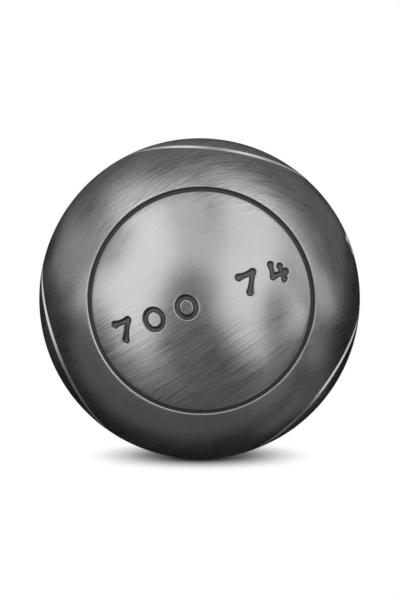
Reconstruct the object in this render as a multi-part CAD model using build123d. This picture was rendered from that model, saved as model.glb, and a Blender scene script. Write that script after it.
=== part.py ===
from build123d import *
from math import atan2, cos, degrees, radians, sin, sqrt, tan
import os

# A petanque boule: two half shells of forged steel, bevelled at their rims and butt-welded
# into a hollow ball, then turned round, cut with four ring grooves and stamped with numbers.
# Millimetres and degrees. The origin is the ball's centre, +Z is up and the front is -Y.

# Ball and wall
ball_diameter = 74.0
wall = 6.16                # brings the finished boule to 700 g in steel

# Weld between the two shells: a V filled with metal, with a root bead on the inside
root_gap = 1.5
root_face = 1.6
bevel_angle = 30.0
bead_width = 3.4
bead_height = 0.8

# Ring grooves: one round each corner of a regular tetrahedron, the first round the front pole
ring_angle = 41.8          # from a ring's axis to the middle of its groove
groove_width = 1.2
groove_depth = 0.6
groove_lip = 0.08          # chamfer along each edge of the groove
groove_floor_radius = 0.2

# Stamped numbers: the weight in grams and the diameter in millimetres inside the front
# ring, and the boule's number in its set on the land between the front ring and two others
front_number = "700 74"
set_number = "1"
numeral_height = 5.75
numeral_width = 5.3
stroke_waist = 1.3
stroke_end = 1.85          # each stroke swells to this at its two ends
numeral_depth = 0.5
numeral_gap = 2.4
word_gap = 9.5
front_slant = 29.0         # how far the front number climbs to the right
set_clock = 62.0           # clockwise from the top, seen from the front
set_away = 80.0            # from the front pole to the middle of the set number

# How the boule lies: the front pole faces the viewer, turned and tipped by a few degrees
roll = 7.9
lift = 2.0
yaw = 0.75

# Every cutter runs past the surface that it cuts by this much
overrun = 1.0

ball_radius = ball_diameter / 2
inner_radius = ball_radius - wall
corner_angle = degrees(2 * atan2(sqrt(2), 1))  # between any two corners of a tetrahedron
front_pole = Plane(origin=(0, 0, 0), x_dir=(1, 0, 0), z_dir=(0, -1, 0)).location
lie = Rot(Z=yaw) * Rot(X=-lift) * Rot(Y=roll)


def on_sphere(radius, along):
    """Point of a sphere's half section, at the distance along from the seam plane."""
    return (sqrt(radius**2 - along**2), along)


def middle(start, end, radius):
    """Point halfway along the arc of the given radius between two points of the section."""
    angle = (atan2(start[1], start[0]) + atan2(end[1], end[0])) / 2
    return (radius * cos(angle), radius * sin(angle))


# Corners of the weld's half section, from the ball's outside to its inside
land_radius = inner_radius + root_face
half_opening = root_gap / 2 + (ball_radius - land_radius) * tan(radians(bevel_angle))
cap_edge = on_sphere(ball_radius, half_opening)
land_edge = on_sphere(land_radius, root_gap / 2)
root_edge = on_sphere(inner_radius, root_gap / 2)
bead_edge = on_sphere(inner_radius, bead_width / 2)


def mirrored(point):
    """The same point on the other side of the seam plane."""
    return (point[0], -point[1])


def turned(outline):
    """Solid of revolution about the ball's Y axis."""
    return revolve(make_face(outline), axis=Axis.Y)


def half_shell():
    """One shell, bevelled at its rim, on the +Y side of the seam."""
    outer_pole = (0, ball_radius)
    inner_pole = (0, inner_radius)
    outline = [
        ThreePointArc(outer_pole, middle(outer_pole, cap_edge, ball_radius), cap_edge),
        Line(cap_edge, land_edge),
        Line(land_edge, root_edge),
        ThreePointArc(root_edge, middle(root_edge, inner_pole, inner_radius), inner_pole),
        Line(inner_pole, outer_pole),
    ]
    return turned(outline)


def weld():
    """Ring of weld metal that fills the V between the shells and beads over their roots."""
    cap_top = (ball_radius, 0)
    bead_top = (inner_radius - bead_height, 0)
    outline = [
        ThreePointArc(mirrored(cap_edge), cap_top, cap_edge),
        Line(cap_edge, land_edge),
        Line(land_edge, root_edge),
        ThreePointArc(root_edge, middle(root_edge, bead_edge, inner_radius), bead_edge),
        ThreePointArc(bead_edge, bead_top, mirrored(bead_edge)),
        ThreePointArc(
            mirrored(bead_edge),
            mirrored(middle(root_edge, bead_edge, inner_radius)),
            mirrored(root_edge),
        ),
        Line(mirrored(root_edge), mirrored(land_edge)),
        Line(mirrored(land_edge), mirrored(cap_edge)),
    ]
    return turned(outline)


def ring_groove():
    """Cutter of one ring groove, turned about +Z: steep walls, rounded floor, eased lips."""
    half = groove_width / 2
    mouth = half + groove_lip + overrun
    section = Polyline(
        (-mouth, overrun),
        (-half, -groove_lip),
        (-half, -groove_depth),
        (half, -groove_depth),
        (half, -groove_lip),
        (mouth, overrun),
        close=True,
    )
    face = make_face(section)
    floor = face.vertices().filter_by(lambda v: abs(v.Y + groove_depth) < groove_lip)
    face = fillet(floor, groove_floor_radius)
    across = Plane.XZ.location * Rot(Z=90 - ring_angle) * Pos(ball_radius) * Rot(Z=-90)
    return revolve(across * face, axis=Axis.Z)


def ring_axes():
    """Where each ring's +Z points: the front pole, then the three corners behind it."""
    yield front_pole
    for turn in range(3):
        yield front_pole * Rot(Z=-turn * 120) * Rot(X=-corner_angle)


def stroke(start, end):
    """One stroke of a numeral: a bar with hollow flanks and round, swollen ends."""
    length = sqrt((end[0] - start[0]) ** 2 + (end[1] - start[1]) ** 2)
    swell = stroke_end / 2
    waist = stroke_waist / 2
    outline = [
        ThreePointArc((0, -swell), (-swell, 0), (0, swell)),
        ThreePointArc((0, swell), (length / 2, waist), (length, swell)),
        ThreePointArc((length, swell), (length + swell, 0), (length, -swell)),
        ThreePointArc((length, -swell), (length / 2, -waist), (0, -swell)),
    ]
    angle = degrees(atan2(end[1] - start[1], end[0] - start[0]))
    return Pos(*start) * Rot(Z=angle) * make_face(outline)


# Strokes of the straight numerals, from point to point, in shares of the box that the middle
# of the strokes keeps to: across from its left edge and up from its foot
stroke_shares = {
    "1": [((0.5, 0), (0.5, 1)), ((0.5, 1), (0.12, 0.74))],
    "4": [((0.12, 1), (0, 0.34)), ((0, 0.34), (1, 0.34)), ((0.72, 0.72), (0.72, 0))],
    "7": [((0, 1), (1, 1)), ((1, 1), (0.36, 0))],
}
# How much of a full numeral's box each one takes up across
width_shares = {"0": 1, "1": 0.62, "4": 1, "7": 1}


def numeral(character):
    """Flat outline of one numeral, centred, with its strokes' ends inside its box."""
    if character == "0":
        across = numeral_width / 2
        up = numeral_height / 2
        return Ellipse(across, up) - Ellipse(across - stroke_waist, up - stroke_waist)
    across = numeral_width - stroke_end
    up = numeral_height - stroke_end
    shape = None
    for start, end in stroke_shares[character]:
        points = [((x - 0.5) * across, (y - 0.5) * up) for x, y in (start, end)]
        bar = stroke(*points)
        shape = bar if shape is None else shape + bar
    return shape


def numeral_row(text, centre):
    """Cutters of a row of numerals: centre's X is the way it reads and its Z points out."""
    widths = [word_gap if c == " " else numeral_width * width_shares[c] for c in text]
    gaps = [0 if " " in pair else numeral_gap for pair in zip(text, text[1:])]
    along = -(sum(widths) + sum(gaps)) / 2
    cutters = []
    for index, character in enumerate(text):
        if character != " ":
            turn = degrees((along + widths[index] / 2) / ball_radius)
            spot = centre * Rot(Y=turn) * Pos(Z=ball_radius - numeral_height)
            cutters.append(spot * extrude(numeral(character), numeral_height + overrun))
        along += widths[index] + (gaps[index] if index < len(gaps) else 0)
    return cutters


def stamped_numbers():
    """Every numeral's cutter, with a round floor at one depth below the ball's surface."""
    front = front_pole * Rot(Z=front_slant)
    land = front_pole * Rot(Z=90 - set_clock) * Rot(Y=set_away)
    core = Sphere(ball_radius - numeral_depth)
    prisms = numeral_row(front_number, front) + numeral_row(set_number, land)
    return [prism - core for prism in prisms]


rear = half_shell()
parts = {
    "front_half_shell": mirror(rear, about=Plane.XZ),
    "rear_half_shell": rear,
    "weld_seam": weld(),
}
groove = ring_groove()
cutters = [axis * groove for axis in ring_axes()] + stamped_numbers()

os.makedirs("parts", exist_ok=True)
for name, solid in parts.items():
    for cutter in cutters:
        solid = solid - cutter
    export_step(lie * solid, f"parts/{name}.step")
    print(name, "volume", round(solid.volume, 1))
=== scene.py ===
import bmesh
import bpy
import math
import numpy as np
from mathutils import Matrix, Vector


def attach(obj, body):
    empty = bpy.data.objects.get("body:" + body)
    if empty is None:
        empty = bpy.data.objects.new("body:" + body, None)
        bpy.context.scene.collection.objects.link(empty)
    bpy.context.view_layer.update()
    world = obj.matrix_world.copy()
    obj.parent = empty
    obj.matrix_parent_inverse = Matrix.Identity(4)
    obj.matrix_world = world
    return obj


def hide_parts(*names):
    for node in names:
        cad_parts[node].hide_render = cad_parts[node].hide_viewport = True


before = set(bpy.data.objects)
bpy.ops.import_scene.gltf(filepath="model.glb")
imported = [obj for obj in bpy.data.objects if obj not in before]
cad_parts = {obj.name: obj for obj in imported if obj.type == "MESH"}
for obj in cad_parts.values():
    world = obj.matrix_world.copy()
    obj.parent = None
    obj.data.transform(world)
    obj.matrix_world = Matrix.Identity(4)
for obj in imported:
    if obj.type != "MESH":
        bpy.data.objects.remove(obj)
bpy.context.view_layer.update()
scene = bpy.context.scene

# The boule's face. The outside of the finished ball: two forged steel half shells and the
# weld between them, turned round as one, cut with four ring grooves, stamped with numbers,
# then brushed. It is made in the boule's own frame: front pole at -Y, seam across Y = 0.

MM = 0.001
BALL = 37 * MM  # radius


def turn(axis, degrees):
    """Rotation matrix about one of the axes "X", "Y" or "Z"."""
    return np.array(Matrix.Rotation(math.radians(degrees), 3, axis))


# How the boule lies on the floor (degrees)
YAW, LIFT, ROLL = 0.75, 2.0, 7.9
lie = turn("Z", YAW) @ turn("X", -LIFT) @ turn("Y", ROLL)

# The poles of its four rings, at the corners of a regular tetrahedron. Each one is a frame
# whose columns are its X, Y and Z, with Z pointing out of the ball.
front_pole = np.array([(1, 0, 0), (0, 0, -1), (0, 1, 0)], float)
corner_degrees = math.degrees(2 * math.atan(math.sqrt(2)))
poles = [front_pole] + [
    front_pole @ turn("Z", -120 * third) @ turn("X", -corner_degrees) for third in range(3)
]

# Section of a ring groove, from its middle outwards: across (mm) and depth (mm). It has a flat
# floor, rounded corners, and walls that slope out to an edge eased by the brushing.
RING_DEGREES = 41.8  # from a ring's pole to the middle of its groove
groove_across = np.array([0.0, 0.36, 0.44, 0.52, 0.60, 0.66, 0.72, 0.77, 0.81, 0.87])
groove_depth = np.array([0.60, 0.60, 0.57, 0.48, 0.35, 0.245, 0.14, 0.055, 0.015, 0.0])

# Stamped numerals (mm and degrees): the weight in grams and the diameter in millimetres
# inside the front ring, and the boule's number in its set on the land at the right
FRONT_NUMBER = "700 74"
SET_NUMBER = "1"
NUMERAL_HIGH, NUMERAL_WIDE = 5.75, 5.3
WAIST, SWELL = 1.3, 1.85       # width of a stroke at its middle and at its ends
NUMERAL_GAP, WORD_GAP = 2.4, 9.5
FRONT_SLANT = 29               # how far the front row climbs to the right
SET_CLOCK, SET_AWAY = 62, 80   # clockwise from the top, and away from the front pole

# Strokes of the straight numerals, in shares of the box that their middle lines keep to, and
# how much of a full numeral's width each one takes up
strokes = {
    "1": [((0.5, 0), (0.5, 1)), ((0.5, 1), (0.12, 0.74))],
    "4": [((0.12, 1), (0, 0.34)), ((0, 0.34), (1, 0.34)), ((0.72, 0.72), (0.72, 0))],
    "7": [((0, 1), (1, 1)), ((1, 1), (0.36, 0))],
}
width_share = {"0": 1, "1": 0.62, "4": 1, "7": 1}
# Section of a stamped stroke by distance from its outline (mm, inside is negative): a round
# floor, a wall that steepens upwards and the low burr that the punch throws up
stamp_from = np.array([-0.8, -0.6, -0.45, -0.34, -0.25, -0.15, -0.05, 0.01, 0.06, 0.14, 0.28])
stamp_depth = np.array([0.50, 0.49, 0.46, 0.42, 0.37, 0.27, 0.09, 0.01, -0.036, -0.026, 0.0])

NUMERAL_REACH = 0.97  # cosine of the angle that a numeral keeps within, round its middle

row_frame = front_pole @ turn("Z", FRONT_SLANT)
set_frame = front_pole @ turn("Z", 90 - SET_CLOCK) @ turn("Y", SET_AWAY)
number_rows = [(FRONT_NUMBER, row_frame), (SET_NUMBER, set_frame)]


def digit_places(text):
    """Each digit with how far along the row its middle is (mm), the row centred on nought."""
    widths = [WORD_GAP if c == " " else NUMERAL_WIDE * width_share[c] for c in text]
    gaps = [0 if " " in pair else NUMERAL_GAP for pair in zip(text, text[1:])] + [0]
    starts = np.cumsum([0] + [w + g for w, g in zip(widths, gaps)])[:-1]
    middles = starts + np.array(widths) / 2 - (sum(widths) + sum(gaps)) / 2
    return [(c, m) for c, m in zip(text, middles) if c != " "]


def outline_distance(character, x, y):
    """Signed distance (mm) to a numeral's outline: to the nearest point of each stroke's middle
    line less half the stroke's width there, which swells as a parabola from waist to ends; a
    nought is an ellipse's value over its slope, less the same for its hole."""
    if character == "0":
        def ellipse(across, up):
            value = (x / across) ** 2 + (y / up) ** 2 - 1
            slope = 2 * np.sqrt((x / across**2) ** 2 + (y / up**2) ** 2)
            return value / (slope + 1e-6)

        across, up = NUMERAL_WIDE / 2, NUMERAL_HIGH / 2
        return np.maximum(ellipse(across, up), -ellipse(across - WAIST, up - WAIST))
    across, up = NUMERAL_WIDE - SWELL, NUMERAL_HIGH - SWELL
    nearest = np.full(x.shape, np.inf)
    for start, end in strokes[character]:
        a = (np.array(start) - 0.5) * (across, up)
        b = (np.array(end) - 0.5) * (across, up)
        along = ((x - a[0]) * (b - a)[0] + (y - a[1]) * (b - a)[1]) / ((b - a) @ (b - a))
        t = np.clip(along, 0, 1)
        half = WAIST / 2 + (SWELL - WAIST) / 2 * (2 * t - 1) ** 2
        away = np.hypot(x - a[0] - t * (b - a)[0], y - a[1] - t * (b - a)[1])
        nearest = np.minimum(nearest, away - half)
    return nearest


def groove_below(direction, of_poles):
    """Depth of those poles' ring grooves (mm) in each direction from the ball's centre: the
    section's depth at the arc from each ring's middle line, added up."""
    deep = np.zeros(len(direction))
    for pole in of_poles:
        arc = np.arccos(np.clip(direction @ pole[:, 2], -1, 1)) - math.radians(RING_DEGREES)
        deep += np.interp(np.abs(arc) * BALL / MM, groove_across, groove_depth)
    return deep


def stamp_below(direction, rows):
    """Depth of the rows' numerals (mm) in each direction: the section's depth at the distance
    from the nearest numeral's outline, worked out flat in that numeral's own plane."""
    deep = np.zeros(len(direction))
    for text, place in rows:
        for character, middle in digit_places(text):
            own = direction @ (place @ turn("Y", math.degrees(middle * MM / BALL)))
            near = own[:, 2] > NUMERAL_REACH
            x, y = own[near, 0] * BALL / MM, own[near, 1] * BALL / MM
            outline = outline_distance(character, x, y)
            deep[near] += np.interp(outline, stamp_from, stamp_depth)
    return deep


def grid_faces(rings, around, first=0, closed=True):
    """Quads of a grid stored ring by ring, as one array of four corner numbers each: a point,
    the next one in its ring, and the two at the same steps of the ring after."""
    steps = around if closed else around - 1
    ring, step = np.meshgrid(np.arange(rings - 1), np.arange(steps), indexing="ij")
    after = (step + 1) % around
    a, b = ring * around + step, ring * around + after
    return np.stack([a, b, b + around, a + around], -1).reshape(-1, 4) + first


def pole_direction(pole, away, clock):
    """Directions at the angle away from a pole, at the angle clock round it from its X."""
    local = np.stack([np.sin(away) * np.cos(clock), np.sin(away) * np.sin(clock),
                      np.cos(away) + 0 * clock], -1)
    return local @ pole.T


# How finely the face is divided. The front row's grid is finer than its smallest wall.
AROUND = 360                   # points in each ring
ROW_STEP = 0.1405              # mm between the grid's points
ROW_WIDE, ROW_HIGH = 314, 46   # steps of the grid: with both, twice AROUND points round it
ROW_MARGIN = 0.3               # mm from the grid to the first ring round it
INSIDE_RINGS = 19              # from there to the front groove
CAP_RINGS = 20                 # inside each other groove
OUTSIDE_RINGS = 20             # from a groove to the edge of its pole's share
SET_REACH, SET_CUTS = 3.9, 5   # mm round the set number, and cuts of each edge there
MERGED = 0.02                  # mm between points that become one, less than any step

whole = math.radians(360)
ring_steps = np.unique(np.r_[-groove_across, groove_across]) * MM / BALL
ring_aways = math.radians(RING_DEGREES) + ring_steps
corner = math.radians(corner_degrees)
cell_slope = (1 - math.cos(corner)) / math.sin(corner)


def outer_rings(pole, clock, neighbour):
    """Rings of one pole's share of the ball, from its groove's inner edge to the planes halfway
    to its three neighbours: the tangent of a plane's angle from the pole is a constant over the
    cosine of the clock angle from the neighbour, taken for the nearest of the three."""
    beside = (clock - math.radians(neighbour) + whole / 6) % (whole / 3) - whole / 6
    edge = np.arctan(cell_slope / np.cos(beside))
    share = np.linspace(0, 1, OUTSIDE_RINGS + 1)[1:, None]
    outside = ring_aways[-1] * (1 - share) + edge * share
    away = np.concatenate([np.repeat(ring_aways[:, None], AROUND, 1), outside])
    return pole_direction(pole, away, np.broadcast_to(clock, away.shape)).reshape(-1, 3)


def front_cell():
    """The front pole's share: a fine grid of longitude and latitude over the row of numbers, a
    row of triangles that halves its points, and rings that change from that box to circles.
    Each ring is a share of both, mixed in a plane where a point's distance from the middle is
    its angle from the pole. The shares grow as a power, so that the rings start close."""
    across = (np.arange(ROW_WIDE + 1) - ROW_WIDE / 2) * ROW_STEP * MM / BALL
    up = (np.arange(ROW_HIGH + 1) - ROW_HIGH / 2) * ROW_STEP * MM / BALL
    u, v = np.meshgrid(across, up)
    patch = np.stack([np.cos(v) * np.sin(u), np.sin(v), np.cos(v) * np.cos(u)], -1)
    number = np.arange(u.size).reshape(u.shape)
    half = ROW_HIGH // 2
    rim = np.concatenate([number[half:-1, -1], number[-1, :0:-1], number[:0:-1, 0],
                          number[0, :-1], number[:half, -1]])
    patch = patch.reshape(-1, 3)
    quads = grid_faces(ROW_HIGH + 1, ROW_WIDE + 1, closed=False)
    clock = np.arange(AROUND) * whole / AROUND
    box = patch[rim[::2]]
    spread = np.arccos(box[:, 2]) / np.hypot(box[:, 0], box[:, 1])
    start = box[:, :2] * spread[:, None]
    start *= 1 + ROW_MARGIN * MM / BALL / np.hypot(start[:, 0], start[:, 1])[:, None]
    end = np.stack([np.cos(clock), np.sin(clock)], -1) * ring_aways[0]
    share = (np.linspace(0, 1, INSIDE_RINGS + 1)[:-1] ** 1.5)[:, None, None]
    plane = start * (1 - share) + end * share
    away = np.hypot(plane[..., 0], plane[..., 1])[..., None]
    rings = np.concatenate([plane / away * np.sin(away), np.cos(away)], -1).reshape(-1, 3)
    points = np.concatenate([patch @ row_frame.T, rings @ row_frame.T])
    own = clock + math.radians(FRONT_SLANT)
    points = np.concatenate([points, outer_rings(front_pole, own, 90)])
    first = len(patch)
    count = (len(points) - first) // AROUND
    quads = np.concatenate([quads, grid_faces(count, AROUND, first)])
    here = np.arange(AROUND)
    fine, middle, after = rim[2 * here], rim[2 * here + 1], rim[(2 * here + 2) % len(rim)]
    coarse, next_coarse = first + here, first + (here + 1) % AROUND
    triangles = np.concatenate([
        np.stack([fine, coarse, middle], -1),
        np.stack([coarse, next_coarse, middle], -1),
        np.stack([middle, next_coarse, after], -1)])
    return points, quads, triangles


def side_cell(pole):
    """Another pole's share: a fan of triangles round the pole, then rings."""
    clock = np.arange(AROUND) * whole / AROUND
    away = np.linspace(0, ring_aways[0], CAP_RINGS + 2)[1:-1, None] + 0 * clock
    cap = pole_direction(pole, away, np.broadcast_to(clock, away.shape)).reshape(-1, 3)
    points = np.concatenate([pole[:, 2][None], cap, outer_rings(pole, clock, -90)])
    here = np.arange(AROUND)
    fan = np.stack([0 * here, here + 1, (here + 1) % AROUND + 1], -1)
    return points, grid_faces((len(points) - 1) // AROUND, AROUND, 1), fan


ball = bmesh.new()
for points, quads, triangles in [front_cell()] + [side_cell(pole) for pole in poles[1:]]:
    sheet = bpy.data.meshes.new("sheet")
    sheet.from_pydata(points * BALL, [], quads.tolist() + triangles.tolist())
    ball.from_mesh(sheet)
    bpy.data.meshes.remove(sheet)
bmesh.ops.remove_doubles(ball, verts=ball.verts, dist=MERGED * MM)

# The set number's place is divided finely enough for its strokes
ball.verts.ensure_lookup_table()
set_axis = Vector(set_frame[:, 2])
least = math.cos(SET_REACH * MM / BALL)
near = {v for v in ball.verts if v.co.normalized().dot(set_axis) > least}
edges = [e for e in ball.edges if e.verts[0] in near and e.verts[1] in near]
bmesh.ops.subdivide_edges(ball, edges=edges, cuts=SET_CUTS, use_grid_fill=True)


def read(mesh):
    """A mesh's points as one array."""
    points = np.empty(len(mesh.vertices) * 3)
    mesh.vertices.foreach_get("co", points)
    return points.reshape(-1, 3)


# Then every point is put back on the ball and sunk by the depth there
skin = bpy.data.meshes.new("skin")
ball.to_mesh(skin)
ball.free()
direction = read(skin)
direction /= np.linalg.norm(direction, axis=1)[:, None]
below = (groove_below(direction, poles) + stamp_below(direction, number_rows)) * MM
sunk = direction * (BALL - below)[:, None]
skin.vertices.foreach_set("co", sunk.ravel())
skin.update()

# The two half shells. Each one is a cup of forged carbon steel with a bevelled rim. They
# stand a root gap apart, and their outsides are the ball's face up to the weld.

WALL = 6.16 * MM
ROOT_GAP, ROOT_FACE, BEVEL_DEGREES = 1.5 * MM, 1.6 * MM, 30
inner = BALL - WALL
land = inner + ROOT_FACE
half_opening = ROOT_GAP / 2 + (BALL - land) * math.tan(math.radians(BEVEL_DEGREES))
INSIDE_STEPS = 12              # rings of each shell's inside, from its rim to its pole
DEEPEST = 0.75 * MM            # what lies further below the ball's face is inside it
AT_PLANE = 1e-6                # how near a cut's points are to its plane


def out_at(radius, along):
    """Distance from the Y axis of a sphere's point at the distance along that axis."""
    return np.sqrt(radius**2 - np.asarray(along, float) ** 2)


def root_points(side):
    """Section of the root face on one side of the seam: its outer and its inner corner."""
    return [(out_at(land, ROOT_GAP / 2), side * ROOT_GAP / 2),
            (out_at(inner, ROOT_GAP / 2), side * ROOT_GAP / 2)]


def cut(lowest, highest):
    """Piece of the ball's face between two planes across Y, and the points of each cut in
    order of angle."""
    piece = bmesh.new()
    piece.from_mesh(skin)
    for at, keep_above in ((lowest, True), (highest, False)):
        if at is not None:
            bmesh.ops.bisect_plane(
                piece, geom=piece.verts[:] + piece.edges[:] + piece.faces[:],
                dist=AT_PLANE / 100, plane_co=(0, at, 0), plane_no=(0, 1, 0),
                clear_inner=keep_above, clear_outer=not keep_above)
    bmesh.ops.triangulate(piece, faces=[f for f in piece.faces if len(f.verts) > 4])
    made = bpy.data.meshes.new("cut")
    piece.to_mesh(made)
    rims = []
    piece.verts.ensure_lookup_table()
    for at in (lowest, highest):
        if at is not None:
            rim = np.array([v.index for v in piece.verts
                            if v.is_boundary and abs(v.co.y - at) < AT_PLANE])
            points = read(made)[rim]
            rims.append(rim[np.argsort(np.arctan2(points[:, 2], points[:, 0]))])
    piece.free()
    return made, rims


def carried(points, section):
    """Rings of a section carried round Y, one point for each point's angle: the section gives
    distances from Y and along it."""
    angle = np.arctan2(points[:, 2], points[:, 0])
    rings = [np.stack([out * np.cos(angle), 0 * angle + along, out * np.sin(angle)], -1)
             for out, along in section]
    return np.concatenate(rings)


def zipped(left, right, left_angle, right_angle):
    """Triangles between two closed rings with points at different angles, each ring's edge
    taking the other ring's last point before its end."""
    left_twice, right_twice = [np.r_[a, a + whole] for a in (left_angle, right_angle)]
    here = np.searchsorted(right_twice, left_twice[1:len(left) + 1], "right") - 1
    there = np.searchsorted(left_twice, right_twice[1:len(right) + 1], "left") - 1
    return np.concatenate([
        np.stack([left, np.roll(left, -1), right[here % len(right)]], -1),
        np.stack([right, left[there % len(left)], np.roll(right, -1)], -1)])


def eased(value, low, high):
    """Smooth step from nought at low to one at high."""
    share = np.clip((value - low) / (high - low), 0, 1)
    return share * share * (3 - 2 * share)


# Depths (mm) between which each mark of the belt comes in
ROW_WALLS, ROW_FLOORS = (0.03, 0.16), (0.36, 0.48)
FRONT_GROOVE, OTHER_GROOVES = (0.24, 0.36), (0.52, 0.60)
SUNK, BURR = (0.01, 0.10), (0.014, 0.034)


def scale_and_painted_shade_share(towards):
    """Share of the steel that black scale hides in each direction, a smooth step of the depth,
    with painted shade in it. The belt leaves scale in the front row, less on the floors than on
    the walls, which also paints the walls darker as shade, and in the front groove, where the
    upper half counts as 0.2 mm deeper as painted shade. In the other grooves only the floors keep
    it."""
    stamped = stamp_below(towards, number_rows[:1])
    share = 0.90 * eased(stamped, *ROW_WALLS) - 0.09 * eased(stamped, *ROW_FLOORS)
    groove_and_painted_shade = groove_below(towards, poles[:1])
    # Painted shade: the upper half of the front groove counts as deeper, so that more of the dark
    # scale colour lies there.
    groove_and_painted_shade += 0.2 * eased(towards[:, 2], -0.3, 0.0) * (groove_and_painted_shade > 0.03)
    share = np.maximum(share, eased(groove_and_painted_shade, *FRONT_GROOVE))
    return np.maximum(share, eased(groove_below(towards, poles[1:]), *OTHER_GROOVES))


def piece_object(name, points, faces, material):
    """Object at the origin, its points turned to how the boule lies, its faces outwards and its
    rims sharp. Its points carry what the belt did there, with painted light: the share of scale
    that it left, with painted shade in the front groove's upper half and on the numerals' walls,
    whether the face is sunk out of its reach, and where it caught the punch's burr, which is
    lighter, rubbed and with a painted highlight. The ball's inside has a value of its own for
    each."""
    mesh = bpy.data.meshes.new(name)
    mesh.from_pydata(points @ lie.T, [], faces)
    mesh.validate()
    shape = bmesh.new()
    shape.from_mesh(mesh)
    bmesh.ops.remove_doubles(shape, verts=shape.verts, dist=AT_PLANE / 10)
    bmesh.ops.recalc_face_normals(shape, faces=shape.faces)
    shape.to_mesh(mesh)
    shape.free()
    mesh.polygons.foreach_set("use_smooth", np.ones(len(mesh.polygons), bool))
    mesh.materials.append(material)

    own = read(mesh) @ lie
    radius = np.linalg.norm(own, axis=1)
    at_rim = (np.abs(np.abs(own[:, 1]) - half_opening) < AT_PLANE) & (radius > BALL - WALL / 2)
    ends = np.empty(len(mesh.edges) * 2, int)
    mesh.edges.foreach_get("vertices", ends)
    mesh.edges.foreach_set("use_edge_sharp", at_rim[ends].reshape(-1, 2).all(axis=1))

    towards = own / radius[:, None]
    stamped = stamp_below(towards, number_rows)
    below = groove_below(towards, poles) + np.maximum(stamped, 0)
    front_burr = -stamp_below(towards, number_rows[:1])
    marks = {"scale_and_painted_shade": (scale_and_painted_shade_share(towards), 0.8),
             "sunk": (eased(below, *SUNK), 1),
             "rubbed_burr_highlight": (eased(front_burr, *BURR), 0)}
    for mark, (value, value_inside) in marks.items():
        value[radius < BALL - DEEPEST] = value_inside
        mesh.attributes.new(mark, "FLOAT", "POINT").data.foreach_set("value", value)
    made = bpy.data.objects.new(name, mesh)
    scene.collection.objects.link(made)
    return made


def polygon_lists(mesh):
    """Corner numbers of each face of a mesh."""
    return [tuple(p.vertices) for p in mesh.polygons]


def linear(colour):
    """sRGB hex to linear red, green and blue, with alpha."""
    parts = [int(colour[i:i + 2], 16) / 255 for i in (1, 3, 5)]
    return (*[c / 12.92 if c <= 0.04045 else ((c + 0.055) / 1.055) ** 2.4 for c in parts], 1)


def node(tree, kind, inputs={}, **settings):
    """Adds a node with its settings. An input is a value, or what it's linked from: a socket,
    or a node, which stands for its first output."""
    made = tree.nodes.new(kind)
    for name, value in settings.items():
        setattr(made, name, value)
    for socket, value in inputs.items():
        if isinstance(value, bpy.types.Node):
            value = value.outputs[0]
        if isinstance(value, bpy.types.NodeSocket):
            tree.links.new(value, made.inputs[socket])
        else:
            made.inputs[socket].default_value = value
    return made


# Kinds of node that the steel is made of most, and how deep its streaks are
NOISE, MATH, RANGE, MIX = ["ShaderNode" + kind for kind in ("TexNoise", "Math", "MapRange", "Mix")]
GRAIN = 0.010 * MM


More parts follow.
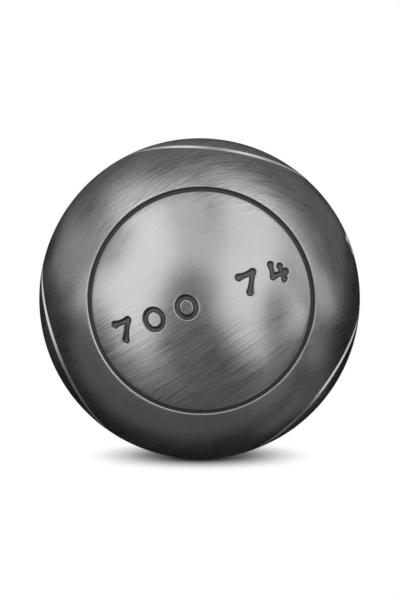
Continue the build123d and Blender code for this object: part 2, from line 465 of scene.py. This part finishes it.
def turned_steel(name, colour):
    """Carbon steel turned to a ball and brushed with an abrasive belt. To the eye it is a grey
    metal whose fine streaks, straight across the front and round the ball further out, draw each
    reflection out across them. Where the face goes below the ball the belt can't reach, and dark
    scale stays; where the scale share also holds painted shade, it darkens the front groove's
    upper half and the numerals' walls. Short bright glints are painted into the tint, and the
    punch's burr is lighter, rubbed by the belt and painted as a highlight. The streaks tilt the
    surface, so no anisotropy is set. They are drawn a tenth of a millimetre wide, since real ones
    are too fine to show."""
    made = bpy.data.materials.new(name)
    made.use_nodes = True
    tree = made.node_tree
    shader = tree.nodes["Principled BSDF"]
    place = node(tree, "ShaderNodeTexCoord").outputs["Object"]
    axis = node(tree, "ShaderNodeSeparateXYZ", {0: place})
    scale_and_painted_shade, sunk, rubbed_burr_highlight = [
        node(tree, "ShaderNodeAttribute", attribute_name=mark).outputs["Fac"]
        for mark in ("scale_and_painted_shade", "sunk", "rubbed_burr_highlight")]

    def streaks(turned, across, along):
        """Noise drawn out into streaks of a width across them and a length along them (mm)."""
        drawn = node(tree, "ShaderNodeMapping", {
            "Vector": place, "Rotation": [math.radians(a) for a in turned],
            "Scale": (across * MM, along * MM, along * MM)}, vector_type="TEXTURE")
        return node(tree, NOISE, {"Vector": drawn, "Scale": 1, "Detail": 3, "Roughness": 0.6})

    straight = streaks((0, 57, 0), 0.12, 9)
    rounding = streaks((0, 0, 112), 0.12, 9)

    # Other passes of the belt: each is a noise and the values between which a streak rises
    passes = [
        (streaks((0, 59, 0), 0.28, 11), 0.36, 0.64),      # broad, along the straight ones
        (streaks((0, 118, 12), 0.12, 10), 0.66, 0.78),    # crossing them, few
        (streaks((8, 30, 0), 0.12, 14), 0.66, 0.78),      # steeper than them, few
        # short bright glints are painted highlights in the tint
        (streaks((0, 58, 0), 0.14, 3.5), 0.60, 0.70),     # short bright glints
        (node(tree, NOISE, {"Vector": place, "Scale": 110, "Detail": 3}), 0.3, 0.7)]
    broad, crossing, steep, painted_glints, clouds = [
        node(tree, RANGE, {0: noise, 1: low, 2: high}, interpolation_type="SMOOTHSTEP")
        for noise, low, high in passes]

    # The straight streaks win towards the front (-Y) and low down, the round ones further out
    patches = node(tree, NOISE, {"Vector": place, "Scale": 45, "Detail": 1})
    outwards = node(tree, MATH, {0: axis.outputs["Y"], 1: 14, 2: 14 * BALL},
                    operation="MULTIPLY_ADD")
    outwards = node(tree, MATH, {0: axis.outputs["Z"], 1: 22, 2: outwards},
                    operation="MULTIPLY_ADD")
    outwards = node(tree, MATH, {0: outwards, 1: patches}, operation="ADD")
    outwards = node(tree, RANGE, {0: outwards, 1: 0.72, 2: 1.1}, interpolation_type="SMOOTHSTEP")
    fine = node(tree, MIX, {0: outwards, 2: straight, 3: rounding})
    fine = node(tree, RANGE, {0: fine, 1: 0.38, 2: 0.62}, interpolation_type="SMOOTHSTEP")

    # How strongly the belt marked each part: inside the front ring most in the lower half,
    # further out least at the lower left, everywhere less towards the right, and nothing where
    # the face is sunk
    lower = node(tree, RANGE, {0: axis.outputs["Z"], 1: 0.005, 2: -0.010},
                 interpolation_type="SMOOTHSTEP")
    aside = node(tree, MATH, {0: axis.outputs["X"], 1: axis.outputs["Z"]}, operation="ADD")
    aside = node(tree, RANGE, {0: aside, 1: -0.020, 2: 0.005}, interpolation_type="SMOOTHSTEP")
    outside = node(tree, RANGE, {0: axis.outputs["Y"], 1: -0.031, 2: -0.025},
                   interpolation_type="SMOOTHSTEP")
    calm = node(tree, RANGE, {0: axis.outputs["X"], 1: 0.009, 2: 0.023, 3: 1, 4: 0.35},
                interpolation_type="SMOOTHSTEP")
    reached = node(tree, MATH, {0: 1, 1: sunk}, operation="SUBTRACT")
    reached = node(tree, MATH, {0: calm, 1: reached}, operation="MULTIPLY")
    rubbed = node(tree, MIX, {0: outside, 2: lower, 3: aside})
    marked = node(tree, MATH, {0: rubbed, 1: 0.9, 2: 0.1}, operation="MULTIPLY_ADD")
    marked = node(tree, MATH, {0: marked, 1: reached}, operation="MULTIPLY")
    raked = node(tree, MATH, {0: rubbed, 1: 0.8, 2: 0.2}, operation="MULTIPLY_ADD")
    raked = node(tree, MATH, {0: raked, 1: reached}, operation="MULTIPLY")

    # Height of the streaks
    amount = node(tree, RANGE, {0: patches, 1: 0.35, 2: 0.7, 3: 0.4, 4: 1},
                  interpolation_type="SMOOTHSTEP")
    height = node(tree, MATH, {0: fine, 1: amount}, operation="MULTIPLY")
    for layer, share in ((broad, 0.2), (crossing, -0.25), (steep, -0.25)):
        height = node(tree, MATH, {0: layer, 1: share, 2: height}, operation="MULTIPLY_ADD")
    height = node(tree, MATH, {0: height, 1: raked}, operation="MULTIPLY")
    grain = node(tree, "ShaderNodeBump", {"Height": height, "Distance": GRAIN})

    # Tint: each streak is a little lighter or darker than its neighbour, painted glints are
    # lighter, the burr is lighter, rubbed by the belt and with a painted highlight, and faint
    # clouds lie over all
    tint = node(tree, MATH, {0: broad, 1: 0.4, 2: fine}, operation="MULTIPLY_ADD")
    tint = node(tree, MATH, {0: tint, 1: 0.56, 2: -0.39}, operation="MULTIPLY_ADD")
    # Painted glints: short streaks made lighter in the tint
    tint = node(tree, MATH, {0: painted_glints, 1: 0.35, 2: tint}, operation="MULTIPLY_ADD")
    tint = node(tree, MATH, {0: tint, 1: marked, 2: 1}, operation="MULTIPLY_ADD")
    # Painted highlight: the burr is lighter, as rubbed by the belt and as catching the light
    tint = node(tree, MATH, {0: rubbed_burr_highlight, 1: 0.22, 2: tint}, operation="MULTIPLY_ADD")
    cloudy = node(tree, MATH, {0: clouds, 1: 0.1, 2: 0.95}, operation="MULTIPLY_ADD")
    tint = node(tree, MATH, {0: tint, 1: cloudy}, operation="MULTIPLY")
    bright = node(tree, "ShaderNodeVectorMath", {0: linear(colour)[:3], "Scale": tint},
                  operation="SCALE")

    # Scale: black oxide, mottled with grey where it is thin. Where its share holds painted shade,
    # in the front groove's upper half and on the numerals' walls, this dark colour is painted
    # shade. It is less of a metal where it hides the steel wholly.
    mottle = node(tree, NOISE, {"Vector": place, "Scale": 1800})
    scale = node(tree, MIX, {0: mottle, 6: linear("#161616"), 7: linear("#3c3c3c")},
                 data_type="RGBA").outputs[2]
    base = node(tree, MIX, {0: scale_and_painted_shade, 6: bright, 7: scale}, data_type="RGBA").outputs[2]
    metal = node(tree, RANGE, {0: scale_and_painted_shade, 1: 0.9, 2: 1, 3: 1, 4: 0.3})

    # Gloss: a fine satin, duller on the streaks, in the clouds and on the scale
    rough = node(tree, MATH, {0: fine, 1: 0.08, 2: 0.24}, operation="MULTIPLY_ADD")
    for layer, share in ((clouds, 0.05), (scale_and_painted_shade, 0.2)):
        rough = node(tree, MATH, {0: layer, 1: share, 2: rough}, operation="MULTIPLY_ADD")

    tree.links.new(base, shader.inputs["Base Color"])
    tree.links.new(metal.outputs[0], shader.inputs["Metallic"])
    tree.links.new(rough.outputs[0], shader.inputs["Roughness"])
    tree.links.new(grain.outputs[0], shader.inputs["Normal"])
    return made


shell_steel = turned_steel("brushed_carbon_steel", "#a5a5a5")


def half_shell(name, side):
    """One shell: its share of the ball's face, then its bevel, its root face and its inside,
    all rings carried round from the points of the cut, and a fan at the inside's pole."""
    made, (rim,) = cut(None, -half_opening) if side < 0 else cut(half_opening, None)
    points = read(made)
    start = math.asin(ROOT_GAP / 2 / inner)
    climb = np.linspace(start, math.radians(90), INSIDE_STEPS + 1)[1:-1]
    section = root_points(side) + [
        (inner * math.cos(up), side * inner * math.sin(up)) for up in climb]
    inside = carried(points[rim], section)
    count = len(rim)
    numbers = np.concatenate([rim, len(points) + np.arange(len(inside))])
    quads = numbers[grid_faces(len(section) + 1, count)]
    top = len(points) + len(inside)
    last = top - count + np.arange(count)
    fan = np.stack([last, np.roll(last, -1), 0 * last + top], -1)
    everything = np.concatenate([points, inside, [[0, side * inner, 0]]])
    faces = polygon_lists(made) + quads.tolist() + fan.tolist()
    return piece_object(name, everything, faces, shell_steel)


front = half_shell("front_half_shell_face", -1)
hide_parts("front_half_shell")
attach(front, "root")

rear = half_shell("rear_half_shell_face", 1)
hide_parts("rear_half_shell")
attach(rear, "root")

# The weld. Steel laid in the V between the two bevels, with a low bead over the roots inside
# the ball. Its cap is turned and brushed with the shells, so that it hardly shows.
BEAD_WIDE, BEAD_HIGH = 3.4 * MM, 0.8 * MM
BEAD_STEPS = 8                 # rings across the bead
weld_steel = turned_steel("ground_weld_steel", "#a9a8a7")
made, (low_rim, high_rim) = cut(-half_opening, half_opening)
points = read(made)

# The bead is a parabola from edge to edge. All of it is carried round from the low side's
# points, and meets the high side's bevel and root face at its last ring.
bead_edge = BEAD_WIDE / 2
edge_out = out_at(inner, bead_edge)
bead_out = inner - BEAD_HIGH - edge_out
low_section = root_points(-1) + [
    (edge_out + bead_out * (1 - share**2), share * bead_edge)
    for share in np.linspace(-1, 1, BEAD_STEPS + 1)]
low = carried(points[low_rim], low_section)
high = carried(points[high_rim], root_points(1))
low_numbers = np.r_[low_rim, len(points) + np.arange(len(low))]
high_numbers = np.r_[high_rim, len(points) + len(low) + np.arange(len(high))]
quads = np.concatenate([low_numbers[grid_faces(len(low_section) + 1, len(low_rim))],
                        high_numbers[grid_faces(3, len(high_rim))]])
angles = [np.arctan2(points[rim][:, 2], points[rim][:, 0]) for rim in (low_rim, high_rim)]
zipper = zipped(low_numbers[-len(low_rim):], high_numbers[-len(high_rim):], *angles)
faces = polygon_lists(made) + quads.tolist() + zipper.tolist()
weld = piece_object("weld_seam_face", np.concatenate([points, low, high]), faces, weld_steel)
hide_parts("weld_seam")
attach(weld, "root")

# The camera. A long lens 59 cm in front of the ball and a little above its middle, looking
# slightly down at it.
UPWARDS = math.radians(3)
AWAY = 0.592
LENS = 153.7
AIM_RIGHT, AIM_DOWN = 0.1 * MM, 0.33 * MM
back = Vector((0, -math.cos(UPWARDS), math.sin(UPWARDS)))
up = Vector((0, math.sin(UPWARDS), math.cos(UPWARDS)))
camera_data = bpy.data.cameras.new("camera")
camera_data.lens = LENS
camera_data.sensor_width = 36
camera = bpy.data.objects.new("camera", camera_data)
scene.collection.objects.link(camera)
camera.location = back * AWAY
aim = Vector((AIM_RIGHT, 0, 0)) - up * AIM_DOWN
camera.rotation_euler = (aim - camera.location).to_track_quat("-Z", "Y").to_euler()
scene.camera = camera
scene.view_settings.view_transform = "Standard"

# The surroundings. White to the camera and in reflections, and weaker as light, so that the
# soft boxes give the shadow.
AS_LIGHT = 0.35
world = bpy.data.worlds.new("surroundings")
scene.world = world
world.use_nodes = True
tree = world.node_tree
ray = node(tree, "ShaderNodeLightPath")
shown = node(tree, MATH, {0: ray.outputs["Is Camera Ray"], 1: ray.outputs["Is Glossy Ray"]},
             operation="MAXIMUM")
shown = node(tree, MATH, {0: shown, 1: ray.outputs["Is Transmission Ray"]},
             operation="MAXIMUM")
strength = node(tree, MATH, {0: shown, 1: 1 - AS_LIGHT, 2: AS_LIGHT}, operation="MULTIPLY_ADD")
sky = tree.nodes["Background"]
sky.inputs["Color"].default_value = linear("#ffffff")
tree.links.new(strength.outputs[0], sky.inputs["Strength"])


def stage_sheet(name, points, faces, hidden, material):
    """Object of the studio; hidden ones are left out of what the camera sees."""
    mesh = bpy.data.meshes.new(name)
    mesh.from_pydata(points, [], faces)
    mesh.materials.append(material)
    made = bpy.data.objects.new(name, mesh)
    scene.collection.objects.link(made)
    made.visible_camera = not hidden
    return made


# The floor. White paper that keeps the boule's shadow in an ellipse under it and melts into the
# white surroundings further out, where it glows as they do. It isn't seen in the metal, which
# shows the dark cloth below in its place.
SHADOW_WIDE, SHADOW_LONG = 28.5 * MM, 34 * MM   # half the ellipse, to the right and backwards
SHADOW_BACK = 5.8 * MM                          # from the point of contact to its middle
MELTS = 0.31, 0.99                              # shares of the ellipse where the glow rises
CONTACT = 3 * MM, 10 * MM                       # distances where the darkest shade ends
DARKEST = 0.2
HALF_FLOOR = 20
paper = bpy.data.materials.new("white_paper")
paper.use_nodes = True
tree = paper.node_tree
tree.nodes.clear()
flat = node(tree, "ShaderNodeTexCoord").outputs["Object"]

# Close to the point of contact the paper's colour is darker: painted shade where the ball hides
# the light
touching = node(tree, "ShaderNodeVectorMath", {0: flat}, operation="LENGTH").outputs["Value"]
painted_contact_shade = node(tree, RANGE, {0: touching, 1: CONTACT[0], 2: CONTACT[1], 3: DARKEST},
             interpolation_type="SMOOTHSTEP")
painted_contact_shade = node(tree, "ShaderNodeVectorMath", {0: linear("#f4f4f4")[:3], "Scale": painted_contact_shade},
             operation="SCALE")

place = node(tree, "ShaderNodeMapping", {
    "Vector": flat, "Location": (0, SHADOW_BACK, 0), "Scale": (SHADOW_WIDE, SHADOW_LONG, 1)},
    vector_type="TEXTURE")
reach = node(tree, "ShaderNodeVectorMath", {0: place}, operation="LENGTH").outputs["Value"]
glow = node(tree, RANGE, {0: reach, 1: MELTS[0], 2: MELTS[1]}, interpolation_type="SMOOTHSTEP")
lit = node(tree, "ShaderNodeBsdfDiffuse", {"Color": painted_contact_shade})
white = node(tree, "ShaderNodeEmission")
melted = node(tree, "ShaderNodeMixShader", {0: glow, 1: lit, 2: white})
node(tree, "ShaderNodeOutputMaterial", {"Surface": melted})
paper.cycles.emission_sampling = "NONE"  # white to look at, but no lamp
corners = [(-HALF_FLOOR, -HALF_FLOOR, 0), (HALF_FLOOR, -HALF_FLOOR, 0),
           (HALF_FLOOR, HALF_FLOOR, 0), (-HALF_FLOOR, HALF_FLOOR, 0)]
floor = stage_sheet("floor", corners, [(0, 1, 2, 3)], False, paper)
floor.location.z = -BALL
floor.visible_glossy = False

# The panels. Soft boxes and dark or grey cards on stands round the boule, each a flat sheet with
# an even glow. Only the soft boxes light the floor: the cards are there for the metal alone,
# which looks like what it reflects.
BOX_LEVEL = 1                  # a panel that glows more than this is a soft box
FURTHEST, NEARER = 1.65, 0.05  # distance of the first panel, and how much nearer each next is
seen_from = np.array((Vector((1, 0, 0)), up, back))  # its rows: rightwards, upwards, nearer


def glowing_sheet(name, points, faces, level):
    """Sheet that the camera doesn't see, with an even glow. A card's glow, and the card itself,
    are left out of the light on the floor."""
    glow_material = bpy.data.materials.new(name)
    glow_material.use_nodes = True
    tree = glow_material.node_tree
    tree.nodes.clear()
    even = node(tree, "ShaderNodeEmission", {"Strength": level})
    node(tree, "ShaderNodeOutputMaterial", {0: even})
    made = stage_sheet(name, (points @ seen_from).tolist(), faces, True, glow_material)
    made.visible_diffuse = made.visible_shadow = level > BOX_LEVEL
    if level < BOX_LEVEL:
        glow_material.cycles.emission_sampling = "NONE"


def panel(name, azimuth, height, roll, half_width, half_height, level, away):
    """Flat rectangle that faces the ball. All its angles are in degrees, as seen from the ball
    with the camera straight ahead: azimuth to the right, height upwards, roll against the
    clock, and half the width and height, whose tangents are its sizes at a distance of one."""
    a, h, r = [math.radians(angle) for angle in (azimuth, height, roll)]
    middle = np.array([math.cos(h) * math.sin(a), math.sin(h), math.cos(h) * math.cos(a)])
    across = np.array([math.cos(a), 0, -math.sin(a)])
    upward = np.cross(middle, across)
    upward *= np.sign(upward[1])
    wide = (across * math.cos(r) + upward * math.sin(r)) * math.tan(math.radians(half_width))
    high = (upward * math.cos(r) - across * math.sin(r)) * math.tan(math.radians(half_height))
    corners = np.array([(middle + x * wide + y * high) * away for x, y in
                        ((-1, -1), (1, -1), (1, 1), (-1, 1))])
    glowing_sheet(name, corners, [(0, 1, 2, 3)], level)


# Name, azimuth, height, roll, half width, half height (degrees), level. Each one stands in front
# of those above it in the list.
panels = [
    ("card_low_right_front", 35, -50, 45, 10, 25, 0.2),
    ("card_lower_left_edge", -100, -25, 0, 15, 10, 0.2),
    ("card_low_left", -45, -60, -45, 60, 50, 0.17),
    ("card_right_edge", 90, -15, 45, 8, 60, 0.27),
    ("card_dark_left_behind", -115, 15, -15, 20, 27, 0.04),
    ("card_behind_above", 160, 28, 30, 55, 47, 0.17),
    ("card_overhead", -25, 110, 50, 50, 15, 0.25),
    ("card_dark_behind", 170, 0, 5, 55, 15, 0.01),
    ("soft_box_left", -42, 5, -70, 60, 30, 1.8),
    ("card_left_edge", -95, 25, -70, 15, 30, 0.5),
    ("soft_box_upper_right", 45, 35, 70, 50, 18, 1.6),
    ("soft_box_right", 42, -4, 50, 25, 38, 1.7),
    ("card_low_right", 63, -22, 30, 12, 50, 0.33),
    ("card_low_front", -10, -20, -10, 20, 40, 0.23),
    ("soft_box_above", 105, 75, 0, 9, 9, 1.2),
    ("card_black_right", 52, -4, -10, 5, 12, 0),
    ("card_dark_low_behind", 180, -30, 0, 36, 14, 0.015),
    ("card_low_left_front", -48, -50, 0, 15, 7, 0.7),
    ("card_low_right_behind", 120, -30, 0, 25, 8, 0.15),
    ("card_right_behind", 135, -15, 0, 10, 8, 0),
    ("card_left_behind", -128, 17, 0, 8, 9, 0.4),
    ("soft_box_low_right", 27, -24, 0, 6, 8, 1.4),
    ("soft_box_far_right", 67, -12, 0, 4, 10, 1.15),
    ("card_right_below", 100, -25, 0, 8, 6, 0.45),
    ("card_black_straight_behind", 180, 0, 0, 26, 26, 0),
]
for number, row in enumerate(panels):
    panel(*row, FURTHEST - NEARER * number)

# The dark cloth. Felt hung as a bowl under the ball and round it, up to a little below its
# height. It is seen in the metal alone, like the cards.
BOWL = 4                       # radius
BOWL_RINGS, BOWL_AROUND = 25, 72
CLOTH_LEVEL = 0.03
clock, height = np.meshgrid(np.arange(BOWL_AROUND) * whole / BOWL_AROUND,
                            np.radians(np.linspace(-89, -7, BOWL_RINGS)))
bowl = BOWL * np.stack([np.cos(height) * np.cos(clock), np.sin(height),
                        np.cos(height) * np.sin(clock)], -1).reshape(-1, 3)
glowing_sheet("dark_cloth", bowl, grid_faces(BOWL_RINGS, BOWL_AROUND).tolist(), CLOTH_LEVEL)
